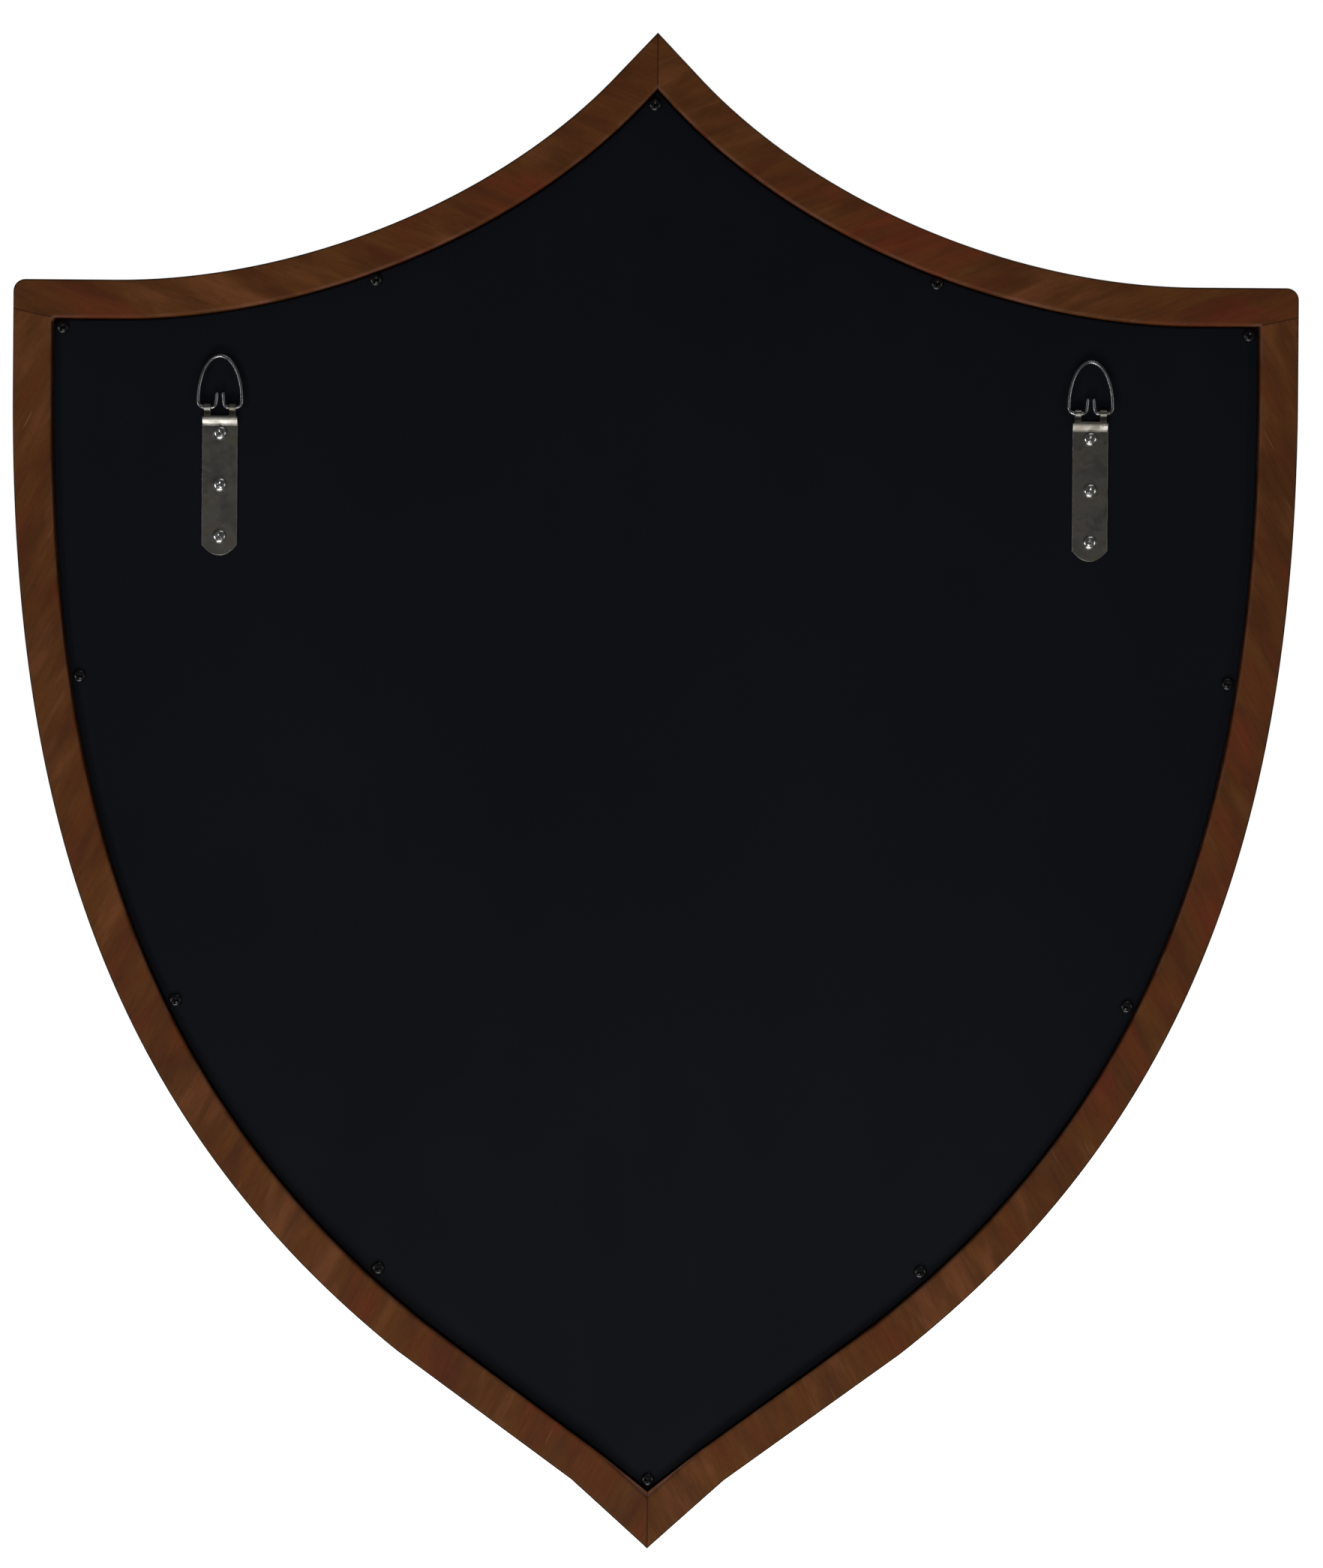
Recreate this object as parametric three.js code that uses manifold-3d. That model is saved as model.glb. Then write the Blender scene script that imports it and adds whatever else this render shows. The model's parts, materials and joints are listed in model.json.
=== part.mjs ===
// A shield-shaped wooden wall plaque, made as it comes apart on a bench.
//
// Four moulded hardwood rails are joined into a frame: a keyed mitre at the apex and at the tip,
// and a dowelled butt joint under each shoulder. The front panel lies in the frame's inner rebate.
// A black back board covers it, held by pan-head screws in the outer rebate's ledge. Two strap
// hangers with wire rings are screwed through the board, and lie inside the recess behind it, so
// that the frame's back stays flat against the wall. Each ring swings on its strap.
//
// Millimetres. +Z is up, the front faces -Y, the wall is the plane y = 0, and +X is to the right
// as seen from the front. The origin is on the wall, midway between the points where the two
// rings bear on their wall hooks.
import * as THREE from "three";
import { mergeVertices } from "three/addons/utils/BufferGeometryUtils.js";
import Module from "manifold-3d";

const wasm = await Module();
wasm.setup();

// The shield's outer outline, right half. A drop is a distance down from the apex.
const HALF_WIDTH = 295;
const HEIGHT = 696;
const SHOULDER_DROP = 115.3;
const CORNER_RADIUS = 5.5;
const BROW_START = [17, 18]; // the straight peak ends and the hollow brow curve starts
const BROW_PULLS = [[70.8, 76.8], [164, SHOULDER_DROP]];
const BROW_END = [247.5, SHOULDER_DROP];
const SIDE_START = [HALF_WIDTH, 165];
const SIDE_PULLS = [[HALF_WIDTH, 343], [257, 493.5]];
const KNUCKLE = [115.5, 606]; // the side curve meets the straight run down to the tip
const TIP_BEND = [35, 664.5]; // below it the outer edge is drawn out to the tip
const INNER_TIP_DROP = 692; // where the straight runs would meet without that bend
const CURVE_STEPS = 14;
const CORNER_STEPS = 4;
const MOULDING_STEPS = 4;

// Depths, as y values: the wall is 0 and the front is the lowest.
const FRONT_Y = -25;
const BOARD_BACK_Y = -5;
const LEDGE_Y = -9; // the ledge behind which the board is screwed, and the panel's back
const LIP_Y = -19; // the back of the front lip, which the panel rests on

// The frame's section, as insets from the outer outline.
const LAND_WIDTH = 17.5; // the flat back that meets the wall
const LEDGE_END = 27.5;
const SIGHT_INSET = 33.5; // the opening in the front
const BOARD_INSET = 18.1;
const PANEL_INSET = 28.1;

// The moulded front: quarter ellipses, by their width across the rail and their height, with a
// small fillet beside each. The ovolo ends at its inset, and springs from its depth below the front.
const OVOLO = { inset: 9, depth: 8, width: 8, height: 6.5 };
const COVE = { width: 7, height: 3 };
const FILLET = 1;

// Frame joints.
const SAW_GAP = 0.2; // a glue line's width
const BUTT_LINE = [[HALF_WIDTH, 128.9], [HALF_WIDTH - SIGHT_INSET, 136.3]];
const KEY_SIZE = [24, 3, 12]; // the plywood keys across the two mitres
const KEY_Y = -20;
const KEY_DROPS = { apex: 30.5, tip: 666.5 };
const DOWEL = { radius: 3, length: 19, x: 286, drop: 131.5 };
const DOWEL_Y = { back: -6.5, front: -16.5 };
const HIDDEN_FIT = 0.3; // clearance round keys and dowels
const CLEAR_OF_FRAME = 10; // how far a cutting shape reaches past the frame
const INNER_REACH = 30; // how far below the butt joint a top rail's inner corner may lie

// Screws, by their head radius, head height, shank radius and length under the head.
const BOARD_SCREW = { head: 3, rise: 2, shank: 1.4, length: 12 };
const HANGER_SCREW = { head: 3.2, rise: 2, shank: 1.5, length: 12 };
const SCREW_FIT = 0.35;
const SCREW_POINT = 3; // length of the tapered point
const PILOT_ROOM = 0.5; // a pilot hole's depth past the point
const PAN_HEAD = [[1, 0], [1, 0.35], [0.85, 0.75], [0.5, 1], [0, 1]]; // shares of radius, height
const ROUND_SIDES = 10;
const OVERCUT = 1; // how far a drill starts and ends outside the piece that it cuts
const BOARD_SCREWS = {
  apex: [1.2, 32.8],
  right_brow: [129, 114.2],
  right_shoulder: [272.8, 137],
  right_side_upper: [263.9, 297.3],
  right_side_lower: [218.7, 446],
  right_run: [124.6, 568.6],
  tip: [0, 665],
  left_run: [-124.6, 568.6],
  left_side_lower: [-218.7, 446],
  left_side_upper: [-263.9, 297.3],
  left_shoulder: [-272.8, 137],
  left_brow: [-129, 114.2],
};

// Strap hangers. Heights here are from the hinge line, where the ring's legs turn in the lugs.
const HANGER_X = 200;
const HINGE_DROP = 173.4;
const HINGE_Y = -2.8;
const WIRE_RADIUS = 0.9;
const RING_RISE = 23.6; // hinge line to the top of the wire's centre line
const RING_HALF = 10;
const RING_LEG = [3.3, 7.6]; // from the turned-up end to the lower corner
const RING_CORNER = [[9.3, 0.7], [RING_HALF, 2.3]];
const RING_SHOULDER = 3.6; // where the arch starts
const LEG_STEPS = 3;
const ARCH_STEPS = 7;
const WIRE_STEPS = 56;
const TURNED_ENDS = [[1.35, 6.9], [1.6, 4], [1.95, 1.5], [2.5, 0.45]];
const STRAP_HALF = 8.2;
const STRAP_TOP = -3.8;
const STRAP_BOTTOM = -68;
const STRAP_SHEET = 1;
const STEP = { bottom: -8.6, top: -4.6, rise: 1.6 }; // the strap steps clear of the board
const END_CORNER = 4.7; // height of the shaped lower end
const END_CUT = 1.4;
const END_PULL = 3.6; // how far out the lower arc stays level
const HOLE_PITCH = 23.8;
const FIRST_HOLE = -11.7;
const STRAP_HOLE_RADIUS = 2.2;
const LUG = { inner: 1, outer: 1.9, from: 4.2, to: 7.4 };
const LUG_ROOTED = 0.2; // how far the lug's tail starts inside the strap
const LUG_OPEN = -Math.PI * 0.3; // the eye curls from where the tail joins it to its open side
const LUG_ROOT = Math.PI * 1.12;
const LUG_TAIL_INNER = [[-0.5, -1.15], [-0.98, -0.3]]; // y and z from the wire's centre
const LUG_TAIL_OUTER = [[-1.7, -0.3], [-1.45, -1.33]];

const RING_BEARING_DROP = HINGE_DROP - RING_RISE + WIRE_RADIUS;
const APEX_Z = RING_BEARING_DROP;
const HINGE_Z = APEX_Z - HINGE_DROP;

const MATERIALS = {
  frame_wood: finish(0x8a4f2c, 0.45, 0),
  panel_wood: finish(0x7a3f22, 0.4, 0),
  joint_wood: finish(0xc9a16b, 0.8, 0),
  board_black: finish(0x17181c, 0.6, 0),
  strap_steel: finish(0x8d8c88, 0.45, 1),
  ring_steel: finish(0xb4b5b8, 0.3, 1),
  black_steel: finish(0x141518, 0.35, 1),
  bright_steel: finish(0xc8c8c6, 0.25, 1),
};

function finish(color, roughness, metalness) {
  return new THREE.MeshStandardMaterial({ color, roughness, metalness });
}

// A point of the shield's plane, from its distance from the centre line and its drop.
function at([x, drop]) {
  return new THREE.Vector2(x, APEX_Z - drop);
}

// ---- solids -------------------------------------------------------------------------------

function solidOf(geometry) {
  const bare = geometry.clone();
  bare.deleteAttribute("normal");
  bare.deleteAttribute("uv");
  const merged = mergeVertices(bare, 1e-4);
  const corners = Array.from(merged.index.array);
  const triVerts = [];
  for (let i = 0; i < corners.length; i += 3) {
    const [a, b, c] = corners.slice(i, i + 3);
    if (a !== b && b !== c && c !== a) triVerts.push(a, b, c);
  }
  const mesh = new wasm.Mesh({
    numProp: 3,
    vertProperties: merged.attributes.position.array,
    triVerts: Uint32Array.from(triVerts),
  });
  return new wasm.Manifold(mesh);
}

function geometryOf(solid) {
  const { vertProperties, triVerts, numProp } = solid.getMesh();
  const positions = [];
  for (let i = 0; i < vertProperties.length; i += numProp) {
    positions.push(...vertProperties.slice(i, i + 3));
  }
  const geometry = new THREE.BufferGeometry();
  geometry.setAttribute("position", new THREE.Float32BufferAttribute(positions, 3));
  geometry.setIndex(Array.from(triVerts));
  return geometry;
}

// A shape of the shield's plane, solid from the depth nearer the wall to the one nearer the front.
function throughY(shape, backY, frontY) {
  const geometry = new THREE.ExtrudeGeometry(shape, {
    depth: backY - frontY,
    bevelEnabled: false,
    curveSegments: 6,
  });
  return geometry.rotateX(Math.PI / 2).translate(0, backY, 0);
}

// A shape drawn in Y and Z, solid along X.
function alongX(shape, fromX, toX) {
  const geometry = new THREE.ExtrudeGeometry(shape, {
    depth: toX - fromX,
    bevelEnabled: false,
    curveSegments: 8,
  });
  const turn = new THREE.Matrix4().makeBasis(
    new THREE.Vector3(0, 1, 0),
    new THREE.Vector3(0, 0, 1),
    new THREE.Vector3(1, 0, 0),
  );
  return geometry.applyMatrix4(turn).translate(fromX, 0, 0);
}

// A drill along Y, from one depth to a deeper one.
function drill(x, z, radius, backY, frontY) {
  const geometry = new THREE.CylinderGeometry(radius, radius, backY - frontY, ROUND_SIDES);
  return solidOf(geometry.translate(x, (backY + frontY) / 2, z));
}

function cutAll(solid, cutters) {
  return cutters.reduce((left, cutter) => left.subtract(cutter), solid);
}

// ---- the shield's outline -----------------------------------------------------------------

// The right half with a sharp shoulder, from the apex to the tip.
function halfOutline(drawnOut) {
  const path = new THREE.Path();
  const curveTo = (pulls, end) => {
    const [a, b, c] = [...pulls, end].map(at);
    path.bezierCurveTo(a.x, a.y, b.x, b.y, c.x, c.y);
  };
  const lineTo = (point) => path.lineTo(at(point).x, at(point).y);
  path.moveTo(0, APEX_Z);
  lineTo(BROW_START);
  curveTo(BROW_PULLS, BROW_END);
  lineTo([HALF_WIDTH, SHOULDER_DROP]);
  lineTo(SIDE_START);
  curveTo(SIDE_PULLS, KNUCKLE);
  const straightShare = TIP_BEND[0] / KNUCKLE[0];
  const onStraight = INNER_TIP_DROP + (KNUCKLE[1] - INNER_TIP_DROP) * straightShare;
  lineTo(drawnOut ? TIP_BEND : [TIP_BEND[0], onStraight]);
  lineTo([0, drawnOut ? HEIGHT : INNER_TIP_DROP]);
  return path.getPoints(CURVE_STEPS);
}

// Where a corner goes when both its edges move inwards by the inset. The outline runs clockwise.
function movedCorner(before, corner, after, inset) {
  const inward = (a, b) => {
    const along = b.clone().sub(a).normalize();
    return new THREE.Vector2(along.y, -along.x);
  };
  const first = inward(before, corner);
  const second = inward(corner, after);
  const reach = inset / (1 + first.dot(second));
  return corner.clone().addScaledVector(first.add(second), reach);
}

// The shoulder's round corner. Its points fall together where the inset has used up its radius.
function roundedShoulder(corner, inset) {
  const radius = Math.max(CORNER_RADIUS - inset, 0);
  const points = [];
  for (let k = 0; k <= CORNER_STEPS; k++) {
    const angle = (1 - k / CORNER_STEPS) * (Math.PI / 2);
    const x = corner.x - radius * (1 - Math.cos(angle));
    points.push(new THREE.Vector2(x, corner.y - radius * (1 - Math.sin(angle))));
  }
  return points;
}

// A deep inset carries the points next to the apex over the centre line. They are gathered where
// the moved outline meets it.
function gatheredAtApex(points) {
  const first = points.findIndex((point) => point.x > 0);
  const [outside, inside] = [points[first - 1], points[first]];
  const meeting = outside.clone().lerp(inside, -outside.x / (inside.x - outside.x));
  return points.map((point, i) => (i < first ? meeting : point));
}

// The closed outline, moved inwards. It has the same number of points at every inset.
function outline(inset) {
  const half = halfOutline(inset < LAND_WIDTH);
  const mirrored = (point) => new THREE.Vector2(-point.x, point.y);
  const moved = half.map((point, i) => {
    const before = half[i - 1] ?? mirrored(half[i + 1]);
    const after = half[i + 1] ?? mirrored(half[i - 1]);
    return movedCorner(before, point, after, inset);
  });
  const shoulder = half.findIndex((point) => point.x === HALF_WIDTH);
  const right = gatheredAtApex(moved).flatMap((point, i) =>
    i === shoulder ? roundedShoulder(point, inset) : [point],
  );
  return [...right, ...right.slice(1, -1).reverse().map(mirrored)];
}

// The points of a closed outline at which it turns, each of them once.
function turningPoints(points) {
  const apart = points.filter((point, i) => point.distanceTo(points.at(i - 1)) > 1e-6);
  return apart.filter((point, i) => {
    const before = point.clone().sub(apart.at(i - 1));
    const after = apart[(i + 1) % apart.length].clone().sub(point);
    return Math.abs(before.cross(after)) > 1e-3;
  });
}

function shieldPlate(inset, backY, frontY) {
  const shape = new THREE.Shape(turningPoints(outline(inset)));
  return solidOf(throughY(shape, backY, frontY));
}

// ---- the frame ----------------------------------------------------------------------------

// The moulded front, from the outer edge to the opening: an ovolo over a small quirk, a flat
// crown, and a cove down to the sight edge.
function frontProfile() {
  const profile = new THREE.Path();
  const ovoloY = FRONT_Y + OVOLO.depth;
  const coveStart = SIGHT_INSET - COVE.width;
  profile.moveTo(0, ovoloY + FILLET);
  profile.lineTo(OVOLO.inset - OVOLO.width, ovoloY);
  profile.absellipse(OVOLO.inset, ovoloY, OVOLO.width, OVOLO.height, Math.PI, Math.PI * 1.5);
  profile.lineTo(OVOLO.inset + FILLET, FRONT_Y);
  profile.lineTo(coveStart - FILLET, FRONT_Y);
  const coveY = FRONT_Y + FILLET;
  profile.lineTo(coveStart, coveY);
  profile.absellipse(SIGHT_INSET, coveY, COVE.width, COVE.height, Math.PI, Math.PI / 2, true);
  return profile.getPoints(MOULDING_STEPS);
}

function frameSection() {
  const back = [
    [SIGHT_INSET, LIP_Y],
    [LEDGE_END, LIP_Y],
    [LEDGE_END, LEDGE_Y],
    [LAND_WIDTH, LEDGE_Y],
    [LAND_WIDTH, 0],
    [0, 0],
  ];
  return [...frontProfile(), ...back.map(([inset, y]) => new THREE.Vector2(inset, y))];
}

// The section carried round the whole outline and mitred at every corner.
function mouldedRing(section) {
  const loops = section.map((point) => outline(point.x));
  const count = loops[0].length;
  const positions = loops.flatMap((loop, k) => loop.flatMap((p) => [p.x, section[k].y, p.y]));
  const index = [];
  for (let k = 0; k < section.length; k++) {
    const near = k * count;
    const far = ((k + 1) % section.length) * count;
    for (let i = 0; i < count; i++) {
      const next = (i + 1) % count;
      index.push(near + i, far + next, near + next, near + i, far + i, far + next);
    }
  }
  const geometry = new THREE.BufferGeometry();
  geometry.setAttribute("position", new THREE.Float32BufferAttribute(positions, 3));
  geometry.setIndex(index);
  return solidOf(geometry);
}

// The space that a top rail is cut from: one side's brow, down to its butt joint.
function browSpace(side, gap) {
  const [outer, inner] = BUTT_LINE;
  const slope = (inner[1] - outer[1]) / (outer[0] - inner[0]);
  const beyond = [outer[0] + CLEAR_OF_FRAME, outer[1] - CLEAR_OF_FRAME * slope - gap];
  const corners = [
    [SAW_GAP / 2, -CLEAR_OF_FRAME],
    [beyond[0], -CLEAR_OF_FRAME],
    beyond,
    [inner[0] - gap, inner[1] - gap],
    [inner[0] - gap, inner[1] + INNER_REACH],
    [SAW_GAP / 2, inner[1] + INNER_REACH],
  ];
  return new THREE.Shape(corners.map(([x, drop]) => at([side * x, drop])));
}

function sideSpace(side) {
  const corners = [
    [SAW_GAP / 2, -CLEAR_OF_FRAME],
    [HALF_WIDTH + CLEAR_OF_FRAME, -CLEAR_OF_FRAME],
    [HALF_WIDTH + CLEAR_OF_FRAME, HEIGHT + CLEAR_OF_FRAME],
    [SAW_GAP / 2, HEIGHT + CLEAR_OF_FRAME],
  ];
  return new THREE.Shape(corners.map(([x, drop]) => at([side * x, drop])));
}

function cutterThrough(shape) {
  return solidOf(throughY(shape, CLEAR_OF_FRAME, FRONT_Y - CLEAR_OF_FRAME));
}

function key(drop, fit) {
  const [x, y, z] = KEY_SIZE.map((size) => size + 2 * fit);
  return new THREE.BoxGeometry(x, y, z).translate(0, KEY_Y, APEX_Z - drop);
}

function dowel(side, y, fit) {
  const { radius, length, x, drop } = DOWEL;
  const peg = new THREE.CylinderGeometry(radius + fit, radius + fit, length + 2 * fit, 12);
  return peg.rotateX(Math.PI / 2).translate(side * x, y, APEX_Z - drop);
}

function frameHoles() {
  const keys = Object.values(KEY_DROPS).map((drop) => solidOf(key(drop, HIDDEN_FIT)));
  const dowels = [-1, 1].flatMap((side) =>
    Object.values(DOWEL_Y).map((y) => solidOf(dowel(side, y, HIDDEN_FIT))),
  );
  const { shank, length } = BOARD_SCREW;
  const pilotEnd = BOARD_BACK_Y - length - PILOT_ROOM;
  const pilots = Object.values(BOARD_SCREWS).map((place) =>
    drill(at(place).x, at(place).y, shank + SCREW_FIT, LEDGE_Y + OVERCUT, pilotEnd),
  );
  return [...keys, ...dowels, ...pilots];
}

function frame() {
  const group = new THREE.Group();
  const blank = cutAll(mouldedRing(frameSection()), frameHoles());
  for (const [hand, side] of [["left", -1], ["right", 1]]) {
    const brow = blank.intersect(cutterThrough(browSpace(side, SAW_GAP / 2)));
    const flank = blank
      .intersect(cutterThrough(sideSpace(side)))
      .subtract(cutterThrough(browSpace(side, -SAW_GAP / 2)));
    group.add(piece(hand + "_top_rail", geometryOf(brow), "frame_wood"));
    group.add(piece(hand + "_side_rail", geometryOf(flank), "frame_wood"));
    for (const [row, y] of Object.entries(DOWEL_Y)) {
      group.add(piece(`${hand}_${row}_dowel`, dowel(side, y, 0), "joint_wood"));
    }
  }
  for (const [end, drop] of Object.entries(KEY_DROPS)) {
    group.add(piece(end + "_mitre_key", key(drop, 0), "joint_wood"));
  }
  return group;
}

// ---- the panel and the back board ---------------------------------------------------------

function hangerHoles(radius, backY, frontY) {
  return [-1, 1].flatMap((side) =>
    [0, 1, 2].map((n) => {
      const z = HINGE_Z + FIRST_HOLE - n * HOLE_PITCH;
      return drill(side * HANGER_X, z, radius, backY, frontY);
    }),
  );
}

function frontPanel() {
  const radius = HANGER_SCREW.shank + SCREW_FIT;
  const pilotEnd = BOARD_BACK_Y + STRAP_SHEET - HANGER_SCREW.length - PILOT_ROOM;
  const plate = shieldPlate(PANEL_INSET, LEDGE_Y, LIP_Y);
  const drilled = cutAll(plate, hangerHoles(radius, LEDGE_Y + OVERCUT, pilotEnd));
  return piece("front_panel", geometryOf(drilled), "panel_wood");
}

function backBoard() {
  const radius = HANGER_SCREW.shank + SCREW_FIT;
  const plate = shieldPlate(BOARD_INSET, BOARD_BACK_Y, LEDGE_Y);
  const [fromY, toY] = [BOARD_BACK_Y + OVERCUT, LEDGE_Y - OVERCUT];
  const screwHoles = Object.values(BOARD_SCREWS).map((place) =>
    drill(at(place).x, at(place).y, radius, fromY, toY),
  );
  const strapHoles = hangerHoles(radius, fromY, toY);
  const drilled = cutAll(plate, [...screwHoles, ...strapHoles]);
  return piece("back_board", geometryOf(drilled), "board_black");
}

// ---- fasteners and hangers ----------------------------------------------------------------

// A pan-head wood screw along Y, seated at y = 0 with its head towards the wall.
function screw({ head, rise, shank, length }) {
  const profile = [
    [0, -length],
    [shank, SCREW_POINT - length],
    [shank, 0],
    ...PAN_HEAD.map(([across, up]) => [across * head, up * rise]),
  ];
  const points = profile.map(([r, y]) => new THREE.Vector2(r, y));
  return new THREE.LatheGeometry(points, ROUND_SIDES);
}

function boardScrews() {
  const group = new THREE.Group();
  const geometry = screw(BOARD_SCREW);
  for (const [place, point] of Object.entries(BOARD_SCREWS)) {
    const fastener = piece(place + "_board_screw", geometry, "black_steel");
    fastener.position.set(at(point).x, BOARD_BACK_Y, at(point).y);
    group.add(fastener);
  }
  return group;
}

// The strap from the side: flat on the board, then stepped up to its free edge.
function strapSide() {
  const low = BOARD_BACK_Y;
  const high = low + STEP.rise;
  const front = [[low, STRAP_BOTTOM], [low, STEP.bottom], [high, STEP.top], [high, STRAP_TOP]];
  const back = front.map(([y, z]) => [y + STRAP_SHEET, z]).reverse();
  return new THREE.Shape([...front, ...back].map(([y, z]) => new THREE.Vector2(y, z)));
}

// The strap in plan: square at the top, and a shallow arc with cut corners at the bottom.
function strapPlan() {
  const shape = new THREE.Shape();
  const cornerZ = STRAP_BOTTOM + END_CORNER;
  shape.moveTo(-STRAP_HALF, STRAP_TOP);
  shape.lineTo(-STRAP_HALF, cornerZ);
  shape.lineTo(-STRAP_HALF + END_CUT, cornerZ - END_CUT);
  shape.quadraticCurveTo(-END_PULL, STRAP_BOTTOM, 0, STRAP_BOTTOM);
  shape.quadraticCurveTo(END_PULL, STRAP_BOTTOM, STRAP_HALF - END_CUT, cornerZ - END_CUT);
  shape.lineTo(STRAP_HALF, cornerZ);
  shape.lineTo(STRAP_HALF, STRAP_TOP);
  return shape;
}

// One lug from the side: a tail from the strap's edge, passing under the wire, and an eye that
// curls over it and leaves its lower side open.
function lugSolid(fromX, toX) {
  const eye = new THREE.Shape();
  eye.absarc(HINGE_Y, 0, LUG.outer, LUG_ROOT, LUG_OPEN, true);
  eye.absarc(HINGE_Y, 0, LUG.inner, LUG_OPEN, LUG_ROOT, false);
  const edgeY = BOARD_BACK_Y + STEP.rise;
  const fromHinge = ([y, z]) => [HINGE_Y + y, z];
  const corners = [
    [edgeY, STRAP_TOP - LUG_ROOTED],
    [edgeY + STRAP_SHEET, STRAP_TOP - LUG_ROOTED],
    [edgeY + STRAP_SHEET, STRAP_TOP],
    ...LUG_TAIL_INNER.map(fromHinge),
    ...LUG_TAIL_OUTER.map(fromHinge),
  ];
  const tail = new THREE.Shape(corners.map(([y, z]) => new THREE.Vector2(y, z)));
  return solidOf(alongX(eye, fromX, toX)).add(solidOf(alongX(tail, fromX, toX)));
}

function strap() {
  const bar = solidOf(alongX(strapSide(), -STRAP_HALF - OVERCUT, STRAP_HALF + OVERCUT));
  const plan = solidOf(throughY(strapPlan(), 0, BOARD_BACK_Y - OVERCUT));
  const holes = [0, 1, 2].map((n) =>
    drill(0, FIRST_HOLE - n * HOLE_PITCH, STRAP_HOLE_RADIUS, 0, BOARD_BACK_Y - OVERCUT),
  );
  const plate = cutAll(bar.intersect(plan), holes);
  return plate.add(lugSolid(-LUG.to, -LUG.from)).add(lugSolid(LUG.from, LUG.to));
}

// The ring's centre line, from one turned-up end round the arch to the other.
function ringPath() {
  const half = [...TURNED_ENDS];
  for (let k = 0; k <= LEG_STEPS; k++) {
    half.push([THREE.MathUtils.lerp(...RING_LEG, k / LEG_STEPS), 0]);
  }
  half.push(...RING_CORNER);
  for (let k = 0; k < ARCH_STEPS; k++) {
    const angle = (k / ARCH_STEPS) * (Math.PI / 2);
    const height = (RING_RISE - RING_SHOULDER) * Math.sin(angle);
    half.push([RING_HALF * Math.cos(angle), RING_SHOULDER + height]);
  }
  const other = half.map(([x, z]) => [-x, z]).reverse();
  const points = [...half, [0, RING_RISE], ...other];
  return new THREE.CatmullRomCurve3(points.map(([x, z]) => new THREE.Vector3(x, HINGE_Y, z)));
}

function ring() {
  const wire = new THREE.Shape().absarc(0, 0, WIRE_RADIUS, 0, Math.PI * 2, false);
  return new THREE.ExtrudeGeometry(wire, {
    steps: WIRE_STEPS,
    curveSegments: 4,
    extrudePath: ringPath(),
  });
}

function hanger(hand, side) {
  const group = new THREE.Group();
  group.position.set(side * HANGER_X, 0, HINGE_Z);
  group.add(piece(hand + "_hanger_strap", geometryOf(strap()), "strap_steel"));
  group.add(piece(hand + "_hanger_ring", ring(), "ring_steel"));
  const fixing = screw(HANGER_SCREW);
  ["top", "middle", "bottom"].forEach((row, n) => {
    const fastener = piece(`${hand}_hanger_${row}_screw`, fixing, "bright_steel");
    fastener.position.set(0, BOARD_BACK_Y + STRAP_SHEET, FIRST_HOLE - n * HOLE_PITCH);
    group.add(fastener);
  });
  return group;
}

// ---- assembly -----------------------------------------------------------------------------

function piece(name, geometry, material) {
  geometry.computeVertexNormals();
  const mesh = new THREE.Mesh(geometry, MATERIALS[material].clone());
  mesh.name = name;
  return mesh;
}

const plaque = new THREE.Group();
plaque.add(frame());
plaque.add(frontPanel());
plaque.add(backBoard());
plaque.add(boardScrews());
plaque.add(hanger("left", -1));
plaque.add(hanger("right", 1));

export default plaque;
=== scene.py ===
"""Looks of a shield-shaped wooden wall plaque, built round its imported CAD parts.

The plaque hangs with its front towards -Y and its back towards +Y, which is the side that the camera
sees. "Left" and "right" are as seen from the front. Lengths named here are millimetres unless a
comment says otherwise, and meshes are made in metres. A noise's scale is its waves per metre.
"""
import json
import math
import random

import bmesh
import bpy
from mathutils import Matrix, Vector


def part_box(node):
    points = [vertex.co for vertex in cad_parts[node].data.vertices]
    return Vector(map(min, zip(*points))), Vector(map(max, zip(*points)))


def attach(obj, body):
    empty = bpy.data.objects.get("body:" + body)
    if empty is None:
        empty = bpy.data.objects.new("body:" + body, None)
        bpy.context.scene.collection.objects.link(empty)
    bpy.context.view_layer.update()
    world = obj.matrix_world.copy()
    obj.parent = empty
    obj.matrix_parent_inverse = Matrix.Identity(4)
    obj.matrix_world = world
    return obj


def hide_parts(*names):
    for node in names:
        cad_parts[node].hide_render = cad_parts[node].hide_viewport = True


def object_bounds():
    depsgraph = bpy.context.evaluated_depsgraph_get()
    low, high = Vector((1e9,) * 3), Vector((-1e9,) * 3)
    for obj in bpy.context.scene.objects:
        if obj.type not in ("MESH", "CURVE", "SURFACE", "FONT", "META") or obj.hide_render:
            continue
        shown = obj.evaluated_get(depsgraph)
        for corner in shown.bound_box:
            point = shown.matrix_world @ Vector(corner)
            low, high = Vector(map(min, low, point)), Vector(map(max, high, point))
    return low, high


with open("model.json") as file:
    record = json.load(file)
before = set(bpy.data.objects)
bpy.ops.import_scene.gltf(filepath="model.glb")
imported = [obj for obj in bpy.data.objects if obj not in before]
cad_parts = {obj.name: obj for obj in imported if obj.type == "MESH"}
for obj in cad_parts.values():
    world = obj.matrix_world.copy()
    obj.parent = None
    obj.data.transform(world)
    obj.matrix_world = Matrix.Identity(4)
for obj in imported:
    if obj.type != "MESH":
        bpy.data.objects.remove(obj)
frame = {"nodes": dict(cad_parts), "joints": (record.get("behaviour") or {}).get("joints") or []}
cad_low, cad_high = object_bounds()
MM = 0.001
SIDES = {"left": -1, "right": 1}


def node_box(node):
    """Lowest and highest corner of a CAD node, in millimetres."""
    low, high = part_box(node)
    return low / MM, high / MM


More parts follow.
